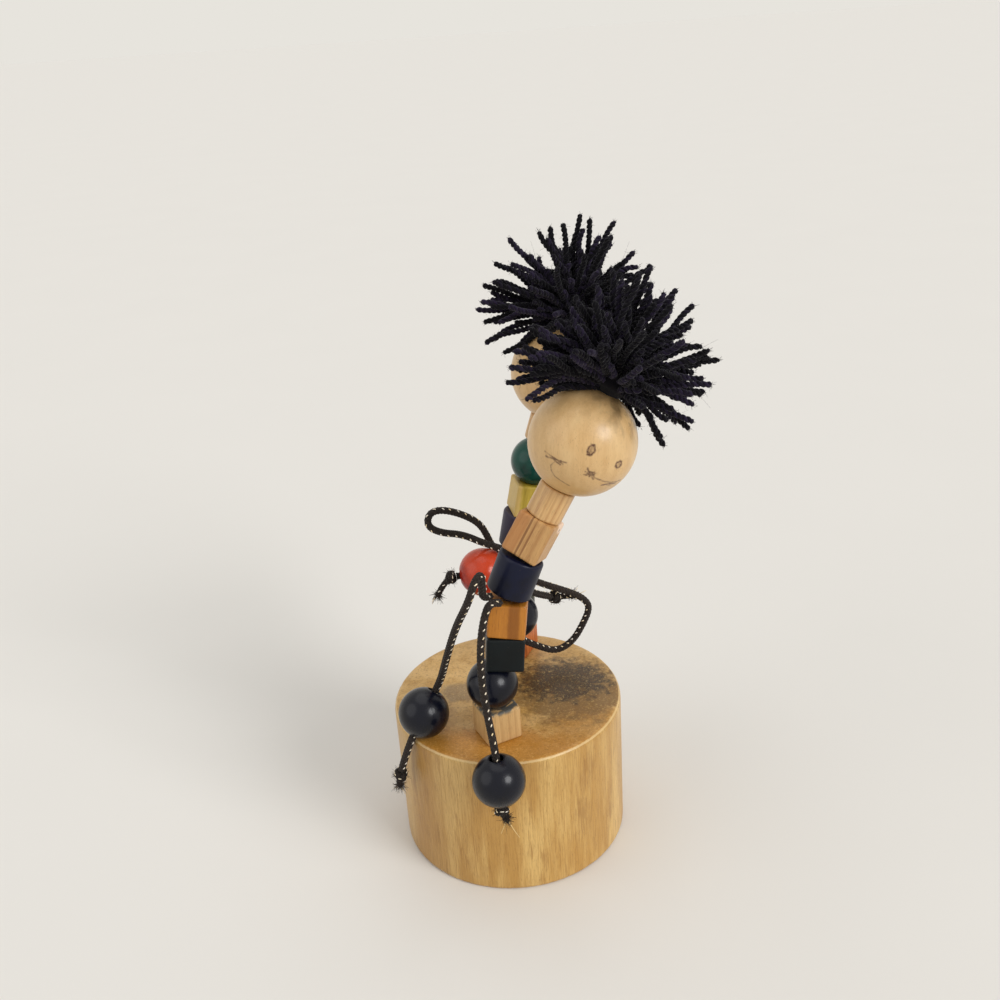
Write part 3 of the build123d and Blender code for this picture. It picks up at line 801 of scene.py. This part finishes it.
def hair(side, lean, facing, material):
    """The tuft knotted at the crown; strands on the facing side stop short of the other figure."""
    place = piece_frame(side + "_head", lean)
    up = np.array(place.to_3x3().inverted() @ Vector((0, 0, 1)))
    crown = np.array([0, 0, head_radius + hair_knot_rise])
    skin = Skin()
    drawn = [np.array(end) - crown for end in yarn_ends[side]]
    for run in drawn:
        yarn_strand(skin, crown, unit(run), np.linalg.norm(run), up)
        yarn_strand(skin, crown, unit(unit(run) + scatter(0.09)), np.linalg.norm(run) * 0.9, up)
    lines = []
    for index, way in enumerate(hair_ways()):
        long = abs(way[1]) > 0.6 or way[2] > 0.9
        reach = hair_length * (0.84 + 0.04 * (index * 3 % 5)) * (1.0 if long else 0.86)
        if way[1] * facing < -0.5:
            way = unit(way + np.array([0, 0, 0.45]))
            reach *= 0.85
        if way[1] * facing * reach > hair_side_reach:
            reach = hair_side_reach / abs(way[1])
        lines.append(yarn_strand(skin, crown, way, reach, up * 0.6))
        for share in (0.75, 0.6):
            yarn_strand(skin, crown, unit(way + scatter(0.28)), min(reach * share, 14.0), up * 0.5)
    for _ in range(70):
        line = chance.choice(lines)
        start = line[chance.randrange(len(line) // 2, len(line) * 4 // 5)]
        way = unit(start - crown + scatter(12.0))
        fibre(skin, start, way, chance.uniform(2.0, 4.0), scatter(0.9), 0.024, tone=0.9, pieces=12)
    share = np.linspace(-0.98, 0.98, 15)
    lump = crown + np.array([0, 0, 2.2]) + share[:, None] * np.array([0, 0, 4.4])
    skin.strand(lump, 4.2 * np.sqrt(1 - share**2) * (1 + 0.08 * np.sin(share * 11)), sides=20, tone=0.0)
    obj = stand_for(skin.made(side + "_tuft", place), side + "_hair")
    dress(obj, material)


# Face


def near_line(points, line):
    """Distance of each point from a drawn line."""
    line = np.asarray(line, float)
    best = np.full(len(points), 1e9)
    for first, second in zip(line, line[1:]):
        run = second - first
        share = np.clip((points - first) @ run / (run @ run), 0, 1)
        best = np.minimum(best, np.linalg.norm(points - first - share[:, None] * run, axis=1))
    return best


def face(points):
    """How much ink is at each point of the head: two eyes, a nose and a scratchy hand-drawn smile."""
    rough = np.array([noise.noise(Vector(point) * 2.6) for point in points])
    thin = np.array([noise.noise(Vector(point) * 1.1 + Vector((9, 0, 0))) for point in points])
    ink = np.zeros(len(points))
    eyes = (((-1.78, -9.74, 1.41), 0.62, 0.95), ((4.38, -8.96, 0.75), 0.66, 0.66))
    for centre, wide, tall in eyes:
        far = np.linalg.norm((points - centre) / np.array([wide, 1.2, tall]), axis=1) + 0.28 * rough
        ring = 1 - np.clip(np.abs(far - 0.9) / 0.42, 0, 1)
        ink = np.maximum(ink, np.maximum(ring * 1.5, np.where(far < 0.9, 0.5 + 0.5 * rough, 0)))
    off = (points - (0.17, -9.68, -2.51)) / np.array([0.95, 1.5, 0.7])
    ink = np.maximum(ink, np.clip((1.1 - np.linalg.norm(off, axis=1) + 0.7 * rough) / 0.4, 0, 0.85))
    strokes = (
        (((-7.6, -5.6, -2.9), (-6.11, -7.30, -3.0), (-4.6, -8.4, -3.2)), 0.14, 0.9),
        (((-7.2, -5.9, -3.6), (-5.9, -7.4, -3.1), (-4.3, -8.6, -2.6)), 0.16, 0.9),
        (((-6.2, -7.2, -3.4), (-4.9, -8.0, -3.5)), 0.14, 0.8),
        (((-5.84, -7.20, -3.75), (-5.9, -6.6, -4.6), (-5.32, -6.5, -5.5), (-4.23, -6.61, -6.20),
          (-3.03, -7.07, -6.39), (-1.26, -7.43, -6.57)), 0.1, 0.7),
        (((-0.9, -9.7, -1.7), (0.2, -9.65, -2.6), (1.3, -9.3, -3.3)), 0.15, 0.9),
        (((1.2, -9.55, -1.9), (0.2, -9.6, -2.7), (-0.7, -9.5, -3.2)), 0.13, 0.8),
        (((0.9, -9.5, -2.9), (3.04, -9.08, -3.1), (5.2, -8.1, -3.0), (7.3, -6.4, -2.3)), 0.12, 0.8),
        (((3.68, -8.37, -4.0), (4.88, -8.15, -3.4), (6.4, -7.1, -3.1)), 0.18, 0.95),
        (((4.2, -8.3, -3.6), (5.6, -7.5, -3.7)), 0.14, 0.8),
    )
    for line, half, strength in strokes:
        near = np.clip((half * (1 + 0.5 * rough) + 0.1 - near_line(points, line)) / 0.16, 0, 1)
        ink = np.maximum(ink, near * strength * np.clip(1 + 0.9 * thin, 0.3, 1))
    return np.clip(ink, 0, 1)


# Wooden pieces


def wooden_pieces():
    navy = painted_wood(
        "navy_gloss", colour(8, 11, 24), colour(4, 5, 11), colour(120, 96, 72), 0.24, edges=(1.3, 1.7), scuffs=0.05
    )
    raw = colour(222, 188, 142)
    dress(worked("drum", Matrix.Identity(4), 0.28, 5, dents=0.25), drum_wood())
    dress(worked("front_foot_block", piece_frame("front_foot_block", 0, 16), 0.12, 5, 0.08), foot_wood())
    dress(worked("front_hip_bead", piece_frame("front_hip_bead", 12), 0.14, 3), navy)
    dress(
        worked("front_lower_block", piece_frame("front_lower_block", 5, -8), 0.12, 5, 0.1),
        painted_wood("dark_block", colour(9, 17, 19), colour(6, 10, 11), colour(130, 104, 76), 0.42, 0.05, (1.15, 1.5)),
    )
    amber_patches = (((1.3, -3.7, 0.0), (1.2, 3.0, 14.0), colour(126, 70, 8), 0.7, 0.6),)
    dress(
        worked("front_upper_block", piece_frame("front_upper_block", 6.5, -14), 0.12, 5, 0.12),
        stained_wood(
            "amber_stain", colour(202, 132, 44), colour(150, 86, 18), raw, patches=amber_patches,
            pith=(0.6, -9.0), ring=2.6, contrast=0.7,
        ),
    )
    dress(
        worked("front_body_roller", piece_frame("front_body_roller", 23), 0.12, 5, 0.08),
        painted_wood("navy_satin", colour(8, 14, 40), colour(5, 7, 22), colour(130, 108, 84), 0.38, 0.1, (1.2, 1.55)),
    )
    chest_patches = (
        ((-2.7, -3.7, 0.0), (2.0, 1.5, 12.0), colour(172, 112, 62), 0.6, 0.6),
        ((-0.7, -3.7, 0.0), (0.24, 1.5, 14.0), colour(112, 68, 34), 0.75, 0.3),
        ((0.3, -3.7, -0.6), (0.2, 1.5, 5.0), colour(120, 74, 38), 0.7, 0.3),
        ((3.6, 2.4, 3.5), (1.3, 2.6, 1.5), colour(238, 208, 182), 0.95, 1.0),
        ((3.7, 1.5, 2.9), (0.8, 0.35, 0.3), colour(40, 24, 16), 0.95),
    )
    dress(
        worked("front_chest_block", piece_frame("front_chest_block", 30, -33), 0.12, 5, 0.14),
        stained_wood(
            "brown_stain", colour(208, 164, 106), colour(160, 112, 64), colour(232, 208, 172), (0.95, 1.35),
            raw_ends=0.15, patches=chest_patches, pith=(-8.0, -3.0), ring=1.7, contrast=0.7,
        ),
    )
    neck = bare_wood("neck_wood", colour(222, 182, 124), colour(176, 128, 74), ring=1.0, contrast=0.7)
    dress(worked("front_neck", piece_frame("front_neck", 30), 0.12, 4), neck)
    dress(worked("front_head", piece_frame("front_head", 30), 0.15, 3, drawing=face), head_wood("face_wood", True))
    dress(
        worked("back_foot_block", piece_frame("back_foot_block", 0, -34), 0.12, 5, 0.1),
        stained_wood("orange_stain", colour(212, 118, 52), colour(160, 78, 28), raw, pith=(4.0, 9.0), ring=1.5),
    )
    dress(
        worked("back_leg_roller", piece_frame("back_leg_roller", 2), 0.12, 4, 0.06),
        painted_wood("olive_satin", colour(36, 40, 12), colour(24, 27, 7), colour(130, 108, 72), 0.34, 0.1, (1.2, 1.55)),
    )
    dress(worked("back_hip_bead", piece_frame("back_hip_bead", 6), 0.14, 3), navy)
    dress(
        worked("back_body_roller", piece_frame("back_body_roller", 12), 0.12, 4, 0.08),
        painted_wood("grey_navy", colour(58, 52, 70), colour(40, 36, 52), colour(150, 132, 112), 0.42, 0.05, (1.1, 1.5)),
    )
    yellow_patches = (((-3.9, 0.0, 0.0), (1.5, 12.0, 12.0), colour(206, 174, 106), 0.8, 0.5),)
    dress(
        worked("back_chest_block", piece_frame("back_chest_block", 12, 2), 0.12, 5, 0.12),
        stained_wood(
            "yellow_stain", colour(200, 172, 66), colour(150, 126, 22), raw, patches=yellow_patches,
            pith=(7.0, 7.0), ring=1.4, contrast=0.7,
        ),
    )
    dress(
        worked("back_collar_bead", piece_frame("back_collar_bead", 16), 0.14, 3),
        painted_wood("teal_gloss", colour(12, 72, 62), colour(6, 44, 36), colour(150, 130, 92), 0.2, 0.2, (1.3, 1.7)),
    )
    dress(worked("back_neck", piece_frame("back_neck", 18), 0.12, 4), neck)
    dress(worked("back_head", piece_frame("back_head", 18), 0.15, 3), head_wood("plain_head_wood", False))
    return navy


# Light and floor


def add_lamp(name, source, strength, width):
    """A distant soft lamp: where its light comes from, and how wide it looks in degrees."""
    lamp = bpy.data.lights.new(name, "SUN")
    lamp.energy = strength
    lamp.angle = math.radians(width)
    obj = bpy.data.objects.new(name, lamp)
    bpy.context.scene.collection.objects.link(obj)
    obj.rotation_euler = (-Vector(source)).to_track_quat("-Z", "Y").to_euler()


def add_world():
    """A soft even light, which cameras, gloss and glass see as a pale backdrop."""
    world = bpy.data.worlds.new("studio")
    bpy.context.scene.world = world
    world.use_nodes = True
    tree = world.node_tree
    tree.nodes.clear()
    rays = tree.nodes.new("ShaderNodeLightPath")
    seen = tree.nodes.new("ShaderNodeMath")
    seen.operation = "MAXIMUM"
    tree.links.new(rays.outputs["Is Camera Ray"], seen.inputs[0])
    tree.links.new(rays.outputs["Is Glossy Ray"], seen.inputs[1])
    either = tree.nodes.new("ShaderNodeMath")
    either.operation = "MAXIMUM"
    tree.links.new(seen.outputs[0], either.inputs[0])
    tree.links.new(rays.outputs["Is Transmission Ray"], either.inputs[1])
    soft = tree.nodes.new("ShaderNodeBackground")
    soft.inputs["Color"].default_value = (1.0, 0.985, 0.96, 1.0)
    soft.inputs["Strength"].default_value = 0.45
    backdrop = tree.nodes.new("ShaderNodeBackground")
    backdrop.inputs["Color"].default_value = colour(231, 228, 221)
    mix = tree.nodes.new("ShaderNodeMixShader")
    tree.links.new(either.outputs[0], mix.inputs[0])
    tree.links.new(soft.outputs[0], mix.inputs[1])
    tree.links.new(backdrop.outputs[0], mix.inputs[2])
    output = tree.nodes.new("ShaderNodeOutputWorld")
    tree.links.new(mix.outputs[0], output.inputs[0])


def add_floor():
    mesh = bpy.data.meshes.new("floor")
    mesh.from_pydata([(-9, -9, 0), (9, -9, 0), (9, 9, 0), (-9, 9, 0)], [], [(0, 1, 2, 3)])
    floor = bpy.data.objects.new("floor", mesh)
    bpy.context.scene.collection.objects.link(floor)
    shader = Shader("floor")
    cloud = shader.noise(shader.place(), 0.02, 3.0)
    pale = shader.blend(cloud, colour(232, 229, 223), colour(230, 227, 221))
    dress(floor, shader.finish(pale, 0.9, Specular_IOR_Level=0.0))


# The whole scene

bpy.context.scene.view_settings.view_transform = "Standard"
add_camera()
cord_thread = braid_thread()
gloss_navy = wooden_pieces()
gloss_red = painted_wood(
    "red_gloss", colour(204, 70, 40), colour(142, 26, 18), colour(206, 150, 100), 0.22, 0.25, (1.3, 1.7), 0.05
)
for arm_name, (arm_foot_y, arm_route) in routes.items():
    arm(arm_name, arm_foot_y, arm_route, cord_thread, gloss_red if arm_name == "back_left_arm" else gloss_navy)
shoulder_loop(cord_thread)
wool = yarn()
hair("front", 30, 1, wool)
hair("back", 18, -1, wool)
plain_parts()
add_lamp("window", (0.80, -0.50, 0.52), 1.75, 28)
add_lamp("fill", (-0.75, -0.45, 0.50), 0.5, 50)
add_lamp("top", (0.0, 0.25, 1.0), 0.65, 60)
add_world()
add_floor()
